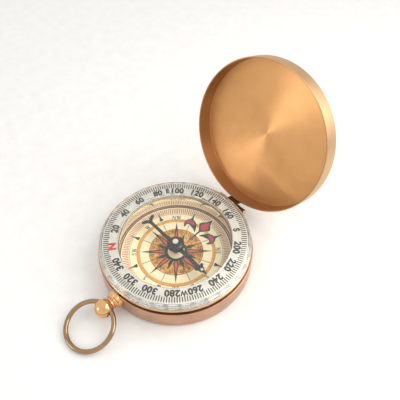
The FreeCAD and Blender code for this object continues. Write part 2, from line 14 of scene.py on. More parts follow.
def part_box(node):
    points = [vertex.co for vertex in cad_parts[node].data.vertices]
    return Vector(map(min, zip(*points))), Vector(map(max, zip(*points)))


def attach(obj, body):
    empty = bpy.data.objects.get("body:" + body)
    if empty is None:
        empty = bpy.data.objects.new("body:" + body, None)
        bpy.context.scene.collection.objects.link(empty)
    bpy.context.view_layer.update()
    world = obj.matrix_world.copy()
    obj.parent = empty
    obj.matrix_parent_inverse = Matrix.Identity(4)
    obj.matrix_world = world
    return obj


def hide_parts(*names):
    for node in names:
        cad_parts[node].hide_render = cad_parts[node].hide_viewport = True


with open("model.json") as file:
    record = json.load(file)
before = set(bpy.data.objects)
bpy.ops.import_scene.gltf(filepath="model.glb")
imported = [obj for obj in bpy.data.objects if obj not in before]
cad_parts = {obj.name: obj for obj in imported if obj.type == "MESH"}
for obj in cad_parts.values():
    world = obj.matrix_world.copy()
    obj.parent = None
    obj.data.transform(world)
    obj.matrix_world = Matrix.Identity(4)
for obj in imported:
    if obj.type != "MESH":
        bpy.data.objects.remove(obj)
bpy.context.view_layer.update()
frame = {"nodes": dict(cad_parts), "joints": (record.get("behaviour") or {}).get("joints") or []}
MM = 0.001
SPOKES = 288
ON_AXIS = 1e-6
NEARLY_STRAIGHT = math.radians(177)
FILLET_SHARE = 0.48

BLACK = (0.0, 0.0, 0.0, 1.0)
WHITE = (1.0, 1.0, 1.0, 1.0)

# places of a Mix node's colour sockets, whose names are also those of its number sockets
MIX_FIRST, MIX_SECOND, MIX_RESULT = 6, 7, 2


# ---------------------------------------------------------------------------------- frame sizes
def span(node):
    """Lowest and highest corners of a CAD node, in millimetres."""
    low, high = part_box(node)
    return low / MM, high / MM


case_high = span("case_cup")[1]
seat_low, seat_high = span("bezel_seat_ring")
bezel_low, bezel_high = span("clear_bezel")
ring_low, ring_high = span("degree_ring")
glass_low, glass_high = span("crystal")
shine_low, shine_high = span("reflector_ring")
card_high = span("dial_card")[1]
blade_low, blade_high = span("needle_blade")
cap_low, cap_high = span("needle_cap")
ball_high = span("crown_ball")[1]
pendant_low, pendant_high = span("pendant")
pin_low, pin_high = span("hinge_pin")

CASE_RADIUS = case_high.x
CASE_TOP = case_high.z
CARD_TOP = card_high.z
RING_TOP = ring_high.z
STEM_Z = (pendant_low.z + pendant_high.z) / 2
BALL_RADIUS = ball_high.x

CASE_WALL = 0.7
FLOOR_THICK = 0.8
BEAD_LOW = 7.9
BEAD_TOP = 8.9
GROOVE_RADIUS = 24.0
NECK_RADIUS = 23.15
WINDOW_RADIUS = 18.3
SKIRT_RADIUS = 23.3
SHOULDER_RADIUS = 24.2
FACE_RADIUS = 23.4
GRIP_RADIUS = 0.9
GRIP_CENTRE = 25.05
GRIP_COUNT = 36
NEEDLE_TURN = -2.0
LID_OPEN = 110.26
LID_RADIUS = 25.32
LID_WALL = 0.5
LID_LOW = 7.2
LID_TOP = 13.18
CARD_TURN = 1.1
NORTH_MARK = 234.47

hinge = next(joint for joint in frame["joints"] if joint["name"] == "lid_hinge")
HINGE_SPOT = Vector(hinge["pos_m"])


# ---------------------------------------------------------------------------------- outlines
def polar(radius, degrees):
    angle = math.radians(degrees)
    return Vector((radius * math.cos(angle), radius * math.sin(angle)))


def turned_by(outline, degrees):
    spin = Matrix.Rotation(math.radians(degrees), 2)
    return [spin @ Vector(point) for point in outline]


def mirrored(outline):
    """The outline on the other side of the Y axis, with its points' order kept counter-clockwise."""
    return [Vector((-point[0], point[1])) for point in reversed(outline)]


def rounded(corners, steps=5):
    """Outline of (x, y, fillet radius) corners with every fillet drawn as an arc."""
    points = []
    count = len(corners)
    for index, (x, y, radius) in enumerate(corners):
        corner = Vector((x, y))
        before = Vector(corners[index - 1][:2]) - corner
        after = Vector(corners[(index + 1) % count][:2]) - corner
        bend = before.angle(after) if before.length and after.length else math.pi
        if radius <= 0 or bend > NEARLY_STRAIGHT:
            points.append(corner)
            continue
        leg = min(radius / math.tan(bend / 2), FILLET_SHARE * before.length, FILLET_SHARE * after.length)
        size = leg * math.tan(bend / 2)
        start = corner + before.normalized() * leg
        end = corner + after.normalized() * leg
        centre = corner + (before.normalized() + after.normalized()).normalized() * math.hypot(leg, size)
        for step in range(steps + 1):
            spoke = (start - centre).slerp(end - centre, step / steps).normalized() * size
            points.append(centre + spoke)
    return points


def smoothed(corners, steps=6):
    """Closed Catmull-Rom curve through the corners."""
    points = []
    count = len(corners)
    for index in range(count):
        a, b, c, d = (Vector(corners[(index + shift) % count]) for shift in (-1, 0, 1, 2))
        for step in range(steps):
            t = step / steps
            points.append(0.5 * ((2 * b) + (c - a) * t + (2 * a - 5 * b + 4 * c - d) * t ** 2
                                 + (3 * b - a - 3 * c + d) * t ** 3))
    return points


# ---------------------------------------------------------------------------------- meshes
class Shape:
    """Vertices in millimetres and faces, grown part by part."""

    def __init__(self):
        self.corners = []
        self.faces = []

    def add(self, corners, faces):
        start = len(self.corners)
        self.corners += [tuple(corner) for corner in corners]
        self.faces += [[start + index for index in face] for face in faces]
        return self

    def prism(self, outline, low, high):
        """Closed slab of that outline."""
        count = len(outline)
        ring = range(count)
        corners = [(x, y, z) for z in (low, high) for x, y in outline]
        sides = [[i, (i + 1) % count, count + (i + 1) % count, count + i] for i in ring]
        return self.add(corners, sides + [list(reversed(ring)), [count + i for i in ring]])

    def lathe(self, outline, spokes=SPOKES, reach=None):
        """Closed (radius, height) outline turned about Z.

        reach(radius, height, angle) may change the radius.
        """
        corners, rings = [], []
        for radius, height in outline:
            rings.append(len(corners))
            if radius < ON_AXIS:
                corners.append((0.0, 0.0, height))
                continue
            for spoke in range(spokes):
                angle = 2 * math.pi * spoke / spokes
                far = reach(radius, height, angle) if reach else radius
                corners.append((far * math.cos(angle), far * math.sin(angle), height))
        faces = []
        for index, (radius, height) in enumerate(outline):
            after = (index + 1) % len(outline)
            here, there = rings[index], rings[after]
            tip, next_tip = radius < ON_AXIS, outline[after][0] < ON_AXIS
            if tip and next_tip:
                continue
            for spoke in range(spokes):
                turn = (spoke + 1) % spokes
                if tip:
                    faces.append([here, there + spoke, there + turn])
                elif next_tip:
                    faces.append([here + spoke, there, here + turn])
                else:
                    faces.append([here + spoke, there + spoke, there + turn, here + turn])
        return self.add(corners, faces)

    def mesh(self, name):
        made = bpy.data.meshes.new(name)
        made.from_pydata([Vector(corner) * MM for corner in self.corners], [], self.faces)
        grid = bmesh.new()
        grid.from_mesh(made)
        bmesh.ops.recalc_face_normals(grid, faces=grid.faces)
        grid.to_mesh(made)
        grid.free()
        return made


def shade(mesh, degrees):
    """Smooth shading with sharp edges above that angle."""
    mesh.shade_smooth()
    mesh.set_sharp_from_angle(angle=math.radians(degrees))


def piece(name, mesh, material, body, replaces=(), spot=None, sharp=32):
    """Object of that mesh, standing for CAD nodes and riding on a body."""
    shade(mesh, sharp)
    mesh.materials.clear()
    mesh.materials.append(material)
    made = bpy.data.objects.new(name, mesh)
    bpy.context.scene.collection.objects.link(made)
    if spot is not None:
        made.matrix_world = spot
    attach(made, body)
    if replaces:
        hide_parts(*replaces)


def applied(mesh, *modifiers):
    """Copy of a mesh with modifiers applied. Each modifier is (kind, settings)."""
    holder = bpy.data.objects.new("holder", mesh)
    bpy.context.scene.collection.objects.link(holder)
    for kind, settings in modifiers:
        modifier = holder.modifiers.new(kind.lower(), kind)
        for key, value in settings.items():
            setattr(modifier, key, value)
    bpy.context.view_layer.update()
    ready = holder.evaluated_get(bpy.context.evaluated_depsgraph_get())
    made = bpy.data.meshes.new_from_object(ready)
    bpy.data.objects.remove(holder)
    return made


def minus(mesh, *tools):
    """Mesh with each tool mesh cut away."""
    for tool in tools:
        cutter = bpy.data.objects.new("cutter", tool)
        bpy.context.scene.collection.objects.link(cutter)
        mesh = applied(mesh, ("BOOLEAN", {"object": cutter, "operation": "DIFFERENCE", "solver": "EXACT"}))
        bpy.data.objects.remove(cutter)
    return mesh


def bevelled(mesh, width, degrees=35, segments=3):
    """Mesh with its sharp edges rounded by that many millimetres."""
    return applied(mesh, ("BEVEL", {
        "width": width * MM, "segments": segments, "limit_method": "ANGLE",
        "angle_limit": math.radians(degrees), "use_clamp_overlap": True,
    }))


# ---------------------------------------------------------------------------------- materials
def tone(red, green, blue):
    """Linear colour of an 8-bit sRGB colour."""
    linear = [((part / 255 + 0.055) / 1.055) ** 2.4 if part > 10 else part / 3295
              for part in (red, green, blue)]
    return (*linear, 1.0)


class Finish:
    """One material: a Principled shader and short calls for the nodes that feed it."""

    def __init__(self, name, **sockets):
        self.material = bpy.data.materials.new(name)
        self.material.use_nodes = True
        self.tree = self.material.node_tree
        self.tree.nodes.clear()
        self.shader = self.node("BsdfPrincipled")
        self.output = self.node("OutputMaterial")
        self.link(self.shader.outputs["BSDF"], self.output.inputs["Surface"])
        for socket, value in sockets.items():
            self.shader.inputs[socket.replace("_", " ")].default_value = value

    def node(self, kind, **settings):
        made = self.tree.nodes.new("ShaderNode" + kind)
        for key, value in settings.items():
            setattr(made, key, value)
        return made

    def link(self, source, target):
        self.tree.links.new(source, target)

    def place(self):
        return self.node("TexCoord").outputs["Object"]

    def spun_place(self, along=0.03):
        """Coordinates of a piece turned about Z: distance from the axis, a little of the angle, height."""
        split = self.node("SeparateXYZ")
        self.link(self.place(), split.inputs[0])
        square = self.node("CombineXYZ")
        self.link(split.outputs["X"], square.inputs["X"])
        self.link(split.outputs["Y"], square.inputs["Y"])
        radius = self.node("VectorMath", operation="LENGTH")
        self.link(square.outputs[0], radius.inputs[0])
        around = self.node("VectorMath", operation="SCALE")
        self.link(square.outputs[0], around.inputs[0])
        around.inputs["Scale"].default_value = along
        joined = self.node("CombineXYZ")
        self.link(radius.outputs["Value"], joined.inputs["X"])
        self.link(split.outputs["Z"], joined.inputs["Z"])
        total = self.node("VectorMath", operation="ADD")
        self.link(joined.outputs[0], total.inputs[0])
        self.link(around.outputs[0], total.inputs[1])
        return total.outputs[0]

    def noise(self, pitch, detail=4.0, roughness=0.55, place=None):
        """Noise whose features are about pitch millimetres across."""
        made = self.node("TexNoise")
        made.inputs["Scale"].default_value = 1 / (pitch * MM)
        made.inputs["Detail"].default_value = detail
        made.inputs["Roughness"].default_value = roughness
        self.link(place or self.place(), made.inputs["Vector"])
        return made.outputs["Fac"]

    def blend(self, share, *stops):
        """Colour ramp of (position, colour) stops driven by share."""
        made = self.node("ValToRGB")
        while len(made.color_ramp.elements) < len(stops):
            made.color_ramp.elements.new(0.5)
        for element, (position, colour) in zip(made.color_ramp.elements, stops):
            element.position = position
            element.color = colour
        self.link(share, made.inputs["Fac"])
        return made.outputs["Color"]

    def scaled(self, share, low, high, start=0.3, end=0.7):
        """share mapped from start..end to low..high."""
        made = self.node("MapRange")
        for socket, value in (("From Min", start), ("From Max", end), ("To Min", low), ("To Max", high)):
            made.inputs[socket].default_value = value
        self.link(share, made.inputs["Value"])
        return made.outputs["Result"]

    def mixed(self, share, first, second, mode="MIX"):
        """Mix of two colours. Each argument is a socket to link or a value to set."""
        made = self.node("Mix", data_type="RGBA", blend_type=mode)
        for socket, given in (("Factor", share), (MIX_FIRST, first), (MIX_SECOND, second)):
            if isinstance(given, bpy.types.NodeSocket):
                self.link(given, made.inputs[socket])
            else:
                made.inputs[socket].default_value = given
        return made.outputs[MIX_RESULT]

    def base_colour(self):
        """The socket that feeds the base colour so far."""
        return self.shader.inputs["Base Color"].links[0].from_socket

    def colour(self, share, *stops):
        self.link(self.blend(share, *stops), self.shader.inputs["Base Color"])
        return self

    def rough(self, share, low, high):
        self.link(self.scaled(share, low, high), self.shader.inputs["Roughness"])
        return self

    def bump(self, share, height, strength=1.0):
        """Relief of that many millimetres driven by share."""
        made = self.node("Bump")
        made.inputs["Strength"].default_value = strength
        made.inputs["Distance"].default_value = height * MM
        self.link(share, made.inputs["Height"])
        before = self.shader.inputs["Normal"]
        if before.is_linked:
            self.link(before.links[0].from_socket, made.inputs["Normal"])
        self.link(made.outputs["Normal"], before)
        return self

    def let_lamps_through(self):
        """Shadow rays pass, so that lamps reach what lies behind clear pieces."""
        path = self.node("LightPath")
        clear = self.node("BsdfTransparent")
        mix = self.node("MixShader")
        share, usual, shadow = mix.inputs
        self.link(path.outputs["Is Shadow Ray"], share)
        self.link(self.shader.outputs["BSDF"], usual)
        self.link(clear.outputs["BSDF"], shadow)
        self.link(mix.outputs["Shader"], self.output.inputs["Surface"])
        return self


def brass(name, dark, light, low, high, grain=0.5, spun=0.0, relief=0.0, **sockets):
    """Brass with mottled tarnish, uneven gloss and, if spun, rings from the lathe."""
    made = Finish(name, **{"Metallic": 1.0, **sockets})
    cloud = made.noise(6.0, 5.0, 0.6)
    made.colour(cloud, (0.3, dark), (0.7, light))
    place = made.spun_place() if spun else None
    fine = made.noise(grain, 6.0, 0.65, place)
    made.rough(fine, low, high)
    if relief:
        made.bump(fine, relief)
    if "Anisotropic" in sockets:
        around_axis = made.node("Tangent", direction_type="RADIAL", axis="Z")
        made.link(around_axis.outputs[0], made.shader.inputs["Tangent"])
    if spun:
        rings = made.node("TexWave", wave_type="BANDS", bands_direction="X")
        rings.inputs["Scale"].default_value = spun / MM
        rings.inputs["Distortion"].default_value = 1.5
        rings.inputs["Detail"].default_value = 2.0
        made.link(place, rings.inputs["Vector"])
        made.bump(rings.outputs["Fac"], 0.0015)
    return made


def plain(name, dark, light, pitch, low, high, relief=0.0, **sockets):
    """Plastic, paint, paper or rubber: two close tones, uneven gloss and a fine relief."""
    made = Finish(name, **sockets)
    grain = made.noise(pitch, 5.0, 0.6)
    made.colour(grain, (0.3, dark), (0.7, light))
    made.rough(made.noise(pitch * 3, 3.0), low, high)
    if relief:
        made.bump(grain, relief)
    return made


def clear(name, tint, index, low, high, relief, pitch, through=1.0):
    """Clear plastic or glass with faint waviness."""
    made = Finish(name, Transmission_Weight=through, IOR=index)
    made.colour(made.noise(pitch, 2.0), (0.2, tint), (0.8, WHITE))
    made.rough(made.noise(pitch, 3.0), low, high)
    made.bump(made.noise(pitch, 2.0, 0.4), relief)
    return made.let_lamps_through()


def dull_wall(finish):
    """Painted shade on the lid's inner wall, a browner tone inside the rim, and a paler, duller outer wall, a
    painted sheen.
    """
    split = finish.node("SeparateXYZ")
    finish.link(finish.spun_place(0.0), split.inputs[0])
    # far is 0.3 at the wall's inner face and 0.8 at its outer face
    far = finish.scaled(split.outputs["X"], 0.0, 1.0, (LID_RADIUS - 0.8) * MM, (LID_RADIUS + 0.2) * MM)
    inner_wall_shade = finish.blend(far, (0.16, BLACK), (0.28, WHITE), (0.45, WHITE), (0.62, BLACK))
    outer_wall_sheen = finish.blend(far, (0.62, BLACK), (0.7, WHITE))
    roof = LID_TOP - LID_WALL
    below_roof = finish.scaled(split.outputs["Z"], 1.0, 0.0, (roof - 0.1) * MM, (roof + 0.02) * MM)
    share = finish.node("Math", operation="MULTIPLY")
    finish.link(inner_wall_shade, share.inputs[0])
    finish.link(below_roof, share.inputs[1])
    # painted shade: the inner wall, inside the rim, takes a browner tone
    inner_shade_painted = finish.mixed(share.outputs[0], finish.base_colour(), tone(176, 136, 98))
    # painted sheen: the outer wall takes a paler tone
    shade_and_sheen_painted = finish.mixed(outer_wall_sheen, inner_shade_painted, tone(206, 168, 128))
    finish.link(shade_and_sheen_painted, finish.shader.inputs["Base Color"])


rose_brass_spun = brass("rose_brass_spun", tone(188, 147, 121), tone(204, 164, 138), 0.2, 0.32, 0.3,
                        spun=0.6)
polished = brass("polished_brass", tone(222, 170, 120), tone(242, 198, 148), 0.07, 0.16, 0.8)
lid_brass = brass("spun_brass", tone(218, 163, 106), tone(226, 171, 116), 0.32, 0.38, 0.25, spun=1.1,
                  Anisotropic=0.9, Anisotropic_Rotation=0.25)
bow_brass = brass("bow_brass", tone(148, 120, 92), tone(172, 142, 112), 0.1, 0.16, 3.0)
bead_brass = brass("bead_brass", tone(200, 170, 134), tone(220, 194, 160), 0.12, 0.2, 0.8)
# darker brass for the seat ring's groove: painted shade
groove_shade_brass = brass("groove_shade_brass", tone(160, 120, 84), tone(184, 144, 106), 0.3, 0.45, 0.8)
# hinge leaves' brass, drawn much darker than the case: painted shade where they sit between lid and case
hinge_shade_brass = brass("hinge_shade_brass", tone(80, 62, 46), tone(102, 80, 62), 0.28, 0.42, 0.3, relief=0.003)
spring_steel = brass("spring_steel", tone(150, 152, 158), tone(196, 198, 204), 0.2, 0.35, 0.3)
pin_steel = brass("pin_steel", tone(168, 168, 170), tone(214, 214, 214), 0.12, 0.26, 0.4)
mirror = brass("bright_reflector", tone(246, 236, 216), tone(254, 248, 234), 0.05, 0.1, 0.9,
               Metallic=0.85)
ring_silver = brass("degree_silver", tone(221, 220, 213), tone(235, 234, 227), 0.34, 0.44, 0.2, spun=1.4,
                    Metallic=0.32)
needle_black = plain("needle_black", tone(12, 11, 11), tone(24, 21, 20), 0.4, 0.25, 0.42, relief=0.003)
cap_black = plain("cap_black", tone(7, 6, 5), tone(15, 13, 12), 0.6, 0.07, 0.13)
ivory = plain("ivory_plastic", tone(222, 212, 186), tone(236, 228, 206), 1.2, 0.4, 0.55, relief=0.002)
rubber = plain("gasket_rubber", tone(28, 27, 26), tone(44, 42, 40), 0.3, 0.6, 0.8, relief=0.004)
lume = plain("lume_paint", tone(206, 202, 186), tone(226, 222, 206), 0.25, 0.5, 0.65, relief=0.01)
ruby = plain("ruby_jewel", tone(140, 16, 36), tone(178, 30, 54), 0.5, 0.05, 0.12)
bezel_clear = clear("bezel_clear", tone(246, 245, 240), 1.49, 0.02, 0.06, 0.004, 2.0)
bezel_grip = clear("bezel_grip", tone(250, 245, 234), 1.49, 0.03, 0.09, 0.004, 1.6, 0.86)
# greyer, half-clear plastic for the scallops' upright walls: painted shade
bezel_scoop_shade = clear("bezel_scoop_shade", tone(150, 146, 136), 1.49, 0.06, 0.14, 0.004, 1.6, 0.5)
crystal_clear = clear("crystal_clear", tone(250, 252, 250), 1.5, 0.0, 0.02, 0.001, 6.0)

# paints shade on the lid's inner wall and a paler sheen on its outer wall
dull_wall(lid_brass)


# ---------------------------------------------------------------------------------- printing inks
def ink(name, dark, light, pitch=0.8, gloss=(0.45, 0.6)):
    return plain(name, dark, light, pitch, *gloss, relief=0.002)


card_cream = ink("card_cream", tone(250, 234, 190), tone(254, 244, 210), 2.5)
ink_black = ink("ink_black", tone(26, 25, 24), tone(40, 38, 36))
ink_red = ink("ink_red", tone(196, 26, 40), tone(220, 44, 56))
ink_green = ink("ink_green", tone(30, 38, 30), tone(54, 60, 44))
ink_brown = ink("ink_brown", tone(96, 56, 34), tone(132, 82, 52))
ink_letters = ink("ink_letters", tone(72, 66, 54), tone(98, 90, 74))
ink_track = ink("ink_track", tone(244, 222, 188), tone(250, 234, 204), 1.5)
ink_rose = ink("ink_rose", tone(170, 118, 92), tone(194, 142, 114), 1.0)
ink_gold = ink("ink_gold", tone(214, 142, 52), tone(240, 178, 84), 1.2)
ink_pink = ink("ink_pink", tone(190, 78, 74), tone(216, 112, 96), 1.0)
ink_petal = ink("ink_petal", tone(166, 50, 84), tone(196, 78, 112), 1.0)
ink_scarlet = ink("ink_scarlet", tone(186, 44, 52), tone(214, 66, 66), 0.8)


def ochre_paint():
    """Mottled ochre of the card's middle: gold, orange and peach patches with thin dark outlines."""
    white = tone(255, 255, 255)
    made = Finish("ink_ochre")
    patch = made.noise(3.4, 4.0, 0.55)
    made.colour(patch, (0.34, tone(170, 104, 44)), (0.44, tone(206, 140, 54)),
                (0.54, tone(226, 166, 70)), (0.68, tone(234, 186, 128)))
    lines = made.blend(made.noise(1.5, 1.0, 0.4), (0.0, white), (0.44, white),
                       (0.49, tone(120, 104, 70)), (0.54, white))
    worn = made.mixed(1.0, made.base_colour(), lines, "MULTIPLY")
    made.link(worn, made.shader.inputs["Base Color"])
    made.rough(made.noise(1.5), 0.45, 0.6)
    made.bump(made.noise(0.5), 0.002)
    return made


ink_ochre = ochre_paint()


# ---------------------------------------------------------------------------------- case
def case_cup():
    """Drawn cup with a rolled foot and a shallow turned recess underneath."""
    wall = CASE_RADIUS - CASE_WALL
    outline = rounded([
        (0, 0.12, 0), (20.6, 0.12, 0.2), (21.0, 0, 0.2), (CASE_RADIUS, 0, 1.0),
        (CASE_RADIUS, CASE_TOP, 0.14), (wall, CASE_TOP, 0.1), (wall, FLOOR_THICK, 0.5), (0, FLOOR_THICK, 0),
    ], 8)
    piece("case_cup_skin", Shape().lathe(outline).mesh("case_cup_skin"), rose_brass_spun.material,
          "case", ["case_cup"])


def seat_ring():
    """Groove painted darker as painted shade, rounded bead and neck, with the slot for the latch's nose."""
    wall = CASE_RADIUS - CASE_WALL
    bore = 20.1
    bead_radius, bead_fillet = seat_high.x, 0.97 * (BEAD_TOP - BEAD_LOW) / 2
    snap_radius, snap_low, snap_high = NECK_RADIUS - 0.25, 9.2, 10.0
    outline = rounded([
        (bore, seat_low.z, 0.1), (wall, seat_low.z, 0.1), (wall, CASE_TOP, 0),
        (GROOVE_RADIUS, CASE_TOP, 0.05), (GROOVE_RADIUS, BEAD_LOW, 0.1),
        (bead_radius, BEAD_LOW, bead_fillet), (bead_radius, BEAD_TOP, bead_fillet),
        (NECK_RADIUS, BEAD_TOP, 0.12), (NECK_RADIUS, snap_low, 0), (snap_radius, snap_low, 0),
        (snap_radius, snap_high, 0), (NECK_RADIUS, snap_high, 0), (NECK_RADIUS, seat_high.z, 0.1),
        (bore, seat_high.z, 0.1),
    ], 8)
    slot = Shape().prism([(-1.8, -24.7), (1.8, -24.7), (1.8, -21.4), (-1.8, -21.4)], 5.4, 7.8).mesh("slot")
    ring = minus(Shape().lathe(outline).mesh("bezel_seat"), slot)
    piece("bezel_seat", ring, bead_brass.material, "case", ["bezel_seat_ring"])
    ring.materials.append(groove_shade_brass.material)
    # faces in the groove take the darker brass: painted shade
    for polygon in ring.polygons:
        middle = polygon.center / MM
        if middle.xy.length > GROOVE_RADIUS - 0.15 and CASE_TOP - 0.1 < middle.z < BEAD_LOW + 0.08:
            polygon.material_index = 1


def reflector():
    """Thin bright wall between the card and the crystal, with a rolled foot."""
    low, high = shine_low.z, shine_high.z
    inner, outer = 17.95, shine_high.x
    outline = rounded([
        (inner, low, 0.03), (outer, low, 0.03), (outer, high, 0.05), (inner, high, 0.05),
    ], 3)
    piece("reflector_wall", Shape().lathe(outline).mesh("reflector_wall"), mirror.material,
          "case", ["reflector_ring"])


def crystal():
    low, high, radius = glass_low.z, glass_high.z, glass_high.x
    outline = rounded([(0, low, 0), (radius, low, 0.12), (radius, high, 0.16), (0, high, 0)], 5)
    piece("crystal_pane", Shape().lathe(outline).mesh("crystal_pane"), crystal_clear.material,
          "case", ["crystal"])


# ---------------------------------------------------------------------------------- bezel
def grip_reach(radius, height, angle):
    """Radius with the grip scallops cut in; they are as deep at every height."""
    pitch = 2 * math.pi / GRIP_COUNT
    offset = abs((angle + pitch / 2) % pitch - pitch / 2)
    side = GRIP_CENTRE * math.sin(offset)
    if side >= GRIP_RADIUS:
        return radius
    scoop = GRIP_CENTRE * math.cos(offset) - math.sqrt(GRIP_RADIUS ** 2 - side ** 2)
    return min(radius, scoop)


def clear_bezel():
    """Clear bezel: flat face, two sloped steps, a skirt over the snap wire and grip scallops.

    The grip outside the face has a finish of its own, and the scallops' upright walls a greyer, half-clear
    one that is painted shade.
    """
    under = RING_TOP + 0.05
    snap, snap_half = 9.6, 0.28
    snap_radius = SKIRT_RADIUS + snap_half
    outline = rounded([
        (WINDOW_RADIUS, under, 0.08), (SKIRT_RADIUS, under, 0.05), (SKIRT_RADIUS, snap + snap_half, 0),
        (snap_radius, snap + snap_half, 0.05), (snap_radius, snap - snap_half, 0.05),
        (SKIRT_RADIUS, snap - snap_half, 0), (SKIRT_RADIUS, bezel_low.z, 0.06), (24.45, bezel_low.z, 0.12),
        (SHOULDER_RADIUS, 10.9, 0.25), (FACE_RADIUS, bezel_high.z, 0.25),
        (WINDOW_RADIUS, bezel_high.z, 0.18),
    ], 5)
    rim = Shape().lathe(outline, GRIP_COUNT * 24, grip_reach).mesh("bezel_rim")
    piece("bezel_rim", rim, bezel_clear.material, "bezel", ["clear_bezel"], sharp=40)
    rim.materials.append(bezel_grip.material)
    rim.materials.append(bezel_scoop_shade.material)
    for polygon in rim.polygons:
        middle = polygon.center / MM
        if middle.xy.length > FACE_RADIUS + 0.1:
            beyond = middle.xy.length + 1.0
            scooped = grip_reach(beyond, middle.z, math.atan2(middle.y, middle.x)) < beyond
            upright = abs(polygon.normal.z) < 0.5
            # upright scallop walls take the grey finish, painted shade
            polygon.material_index = 2 if scooped and upright else 1


def degree_plate():
    low, high, radius = ring_low.z, ring_high.z, ring_high.x
    outline = rounded([
        (WINDOW_RADIUS, low, 0.04), (radius, low, 0.04), (radius, high, 0.04), (WINDOW_RADIUS, high, 0.04),
    ], 2)
    piece("degree_plate", Shape().lathe(outline).mesh("degree_plate"), ring_silver.material,
          "bezel", ["degree_ring"])


def lettering(words, low, high):
    """Text slabs. Each word is (text, height, middle radius, angle, width share, weight)."""
    whole = Shape()
    for text, height, radius, angle, narrow, weight in words:
        curve = bpy.data.curves.new("word", "FONT")
        curve.body = text
        curve.size = 1.0
        curve.offset = weight
        curve.extrude = 0.5
        curve.resolution_u = 6
        curve.space_character = 1.08
        holder = bpy.data.objects.new("word", curve)
        bpy.context.scene.collection.objects.link(holder)
        bpy.context.view_layer.update()
        mesh = bpy.data.meshes.new_from_object(holder.evaluated_get(bpy.context.evaluated_depsgraph_get()))
        bpy.data.objects.remove(holder)
        points = [vertex.co.copy() for vertex in mesh.vertices]
        x_low, x_high = min(p.x for p in points), max(p.x for p in points)
        y_low, y_high = min(p.y for p in points), max(p.y for p in points)
        scale = height / (y_high - y_low)
        spin = Matrix.Rotation(math.radians(angle - 90), 2)
        corners = []
        for point in points:
            flat = Vector(((point.x - (x_low + x_high) / 2) * scale * narrow,
                           (point.y - (y_low + y_high) / 2) * scale + radius))
            flat = spin @ flat
            corners.append((flat.x, flat.y, high if point.z > 0 else low))
        whole.add(corners, [list(polygon.vertices) for polygon in mesh.polygons])
        bpy.data.meshes.remove(mesh)
    made = whole.mesh("lettering")
    grid = bmesh.new()
    grid.from_mesh(made)
    bmesh.ops.remove_doubles(grid, verts=grid.verts, dist=0.0004 * MM)
    bmesh.ops.recalc_face_normals(grid, faces=grid.faces)
    grid.to_mesh(made)
    grid.free()
    return made


def degree_print():
    """Numbers every 20 degrees, the quarter letters between them and a tick every 2 degrees."""
    low, high = RING_TOP, RING_TOP + 0.02
    words = [(str(label), 2.35, 19.9, NORTH_MARK - label, 1.0, 0.05)
             for label in range(20, 360, 20) if label != 180]
    words += [("E", 1.9, 20.1, NORTH_MARK - 90, 0.95, 0.06), ("S", 2.2, 19.9, NORTH_MARK - 180, 1.0, 0.05),
              ("W", 1.8, 20.1, NORTH_MARK - 270, 0.86, 0.05)]
    piece("degree_numbers", lettering(words, low, high), ink_black.material, "bezel")
    north = lettering([("N", 2.6, 20.1, NORTH_MARK, 1.12, 0.06)], low, high)
    piece("degree_north", north, ink_red.material, "bezel")
    ticks = Shape()
    half, outer = 0.16, 22.9
    for mark in range(0, 360, 2):
        inner = 21.2 if mark % 10 else 20.9
        bar = [(inner, -half), (outer, -half), (outer, half), (inner, half)]
        ticks.prism(turned_by(bar, NORTH_MARK - mark), low, high)
    piece("degree_ticks", ticks.mesh("degree_ticks"), ink_black.material, "bezel")


# ---------------------------------------------------------------------------------- needle
def blade():
    """Blackened blade: forked tail with round arms, swelling shaft, anchor-shaped head."""
    low, high = blade_low.z, blade_high.z
    half = [
        (-14.05, 0.55), (-14.35, 1.35), (-14.55, 2.05), (-14.15, 2.5), (-13.6, 2.2), (-13.2, 1.45),
        (-12.7, 0.85), (-11.8, 0.52), (-8.0, 0.52), (-4.5, 0.62), (-2.7, 0.85), (-2.0, 1.9), (0, 2.45),
        (2.0, 1.9), (2.7, 0.85), (4.5, 0.64), (8.0, 0.54), (10.0, 0.5), (10.6, 0.72), (10.4, 1.2),
        (10.65, 1.62), (11.15, 1.6), (11.55, 1.1), (12.1, 0.95), (12.7, 0.7), (13.2, 0.36), (13.9, 0.2),
    ]
    outline = smoothed([(-13.45, 0.0)] + half + [(14.6, 0.0)] + [(x, -y) for x, y in reversed(half)], 5)
    outline.reverse()
    slab = bevelled(Shape().prism(turned_by(outline, NEEDLE_TURN), low, high).mesh("blade"), 0.07, 50, 2)
    piece("needle_arrow", slab, needle_black.material, "needle", ["needle_blade"])


def cap():
    """Glossy black cap: skirt, sloped shoulder and a flat crown with a raised lip."""
    low, high, radius = cap_low.z, cap_high.z, cap_high.x
    skirt = blade_high.z
    outline = rounded([
        (1.08, low, 0.05), (1.85, low, 0.1), (1.85, skirt, 0.05), (radius, skirt, 0.12),
        (radius - 0.05, 8.0, 0.35), (radius - 0.55, 8.35, 0.35), (1.75, 8.55, 0.25), (1.5, high - 0.06, 0.2),
        (1.22, high, 0.12), (0.98, high - 0.06, 0.05), (0, high - 0.06, 0), (0, 8.25, 0), (1.08, 8.25, 0.05),
    ], 6)
    piece("needle_hub", Shape().lathe(outline, 96).mesh("needle_hub"), cap_black.material,
          "needle", ["needle_cap"])


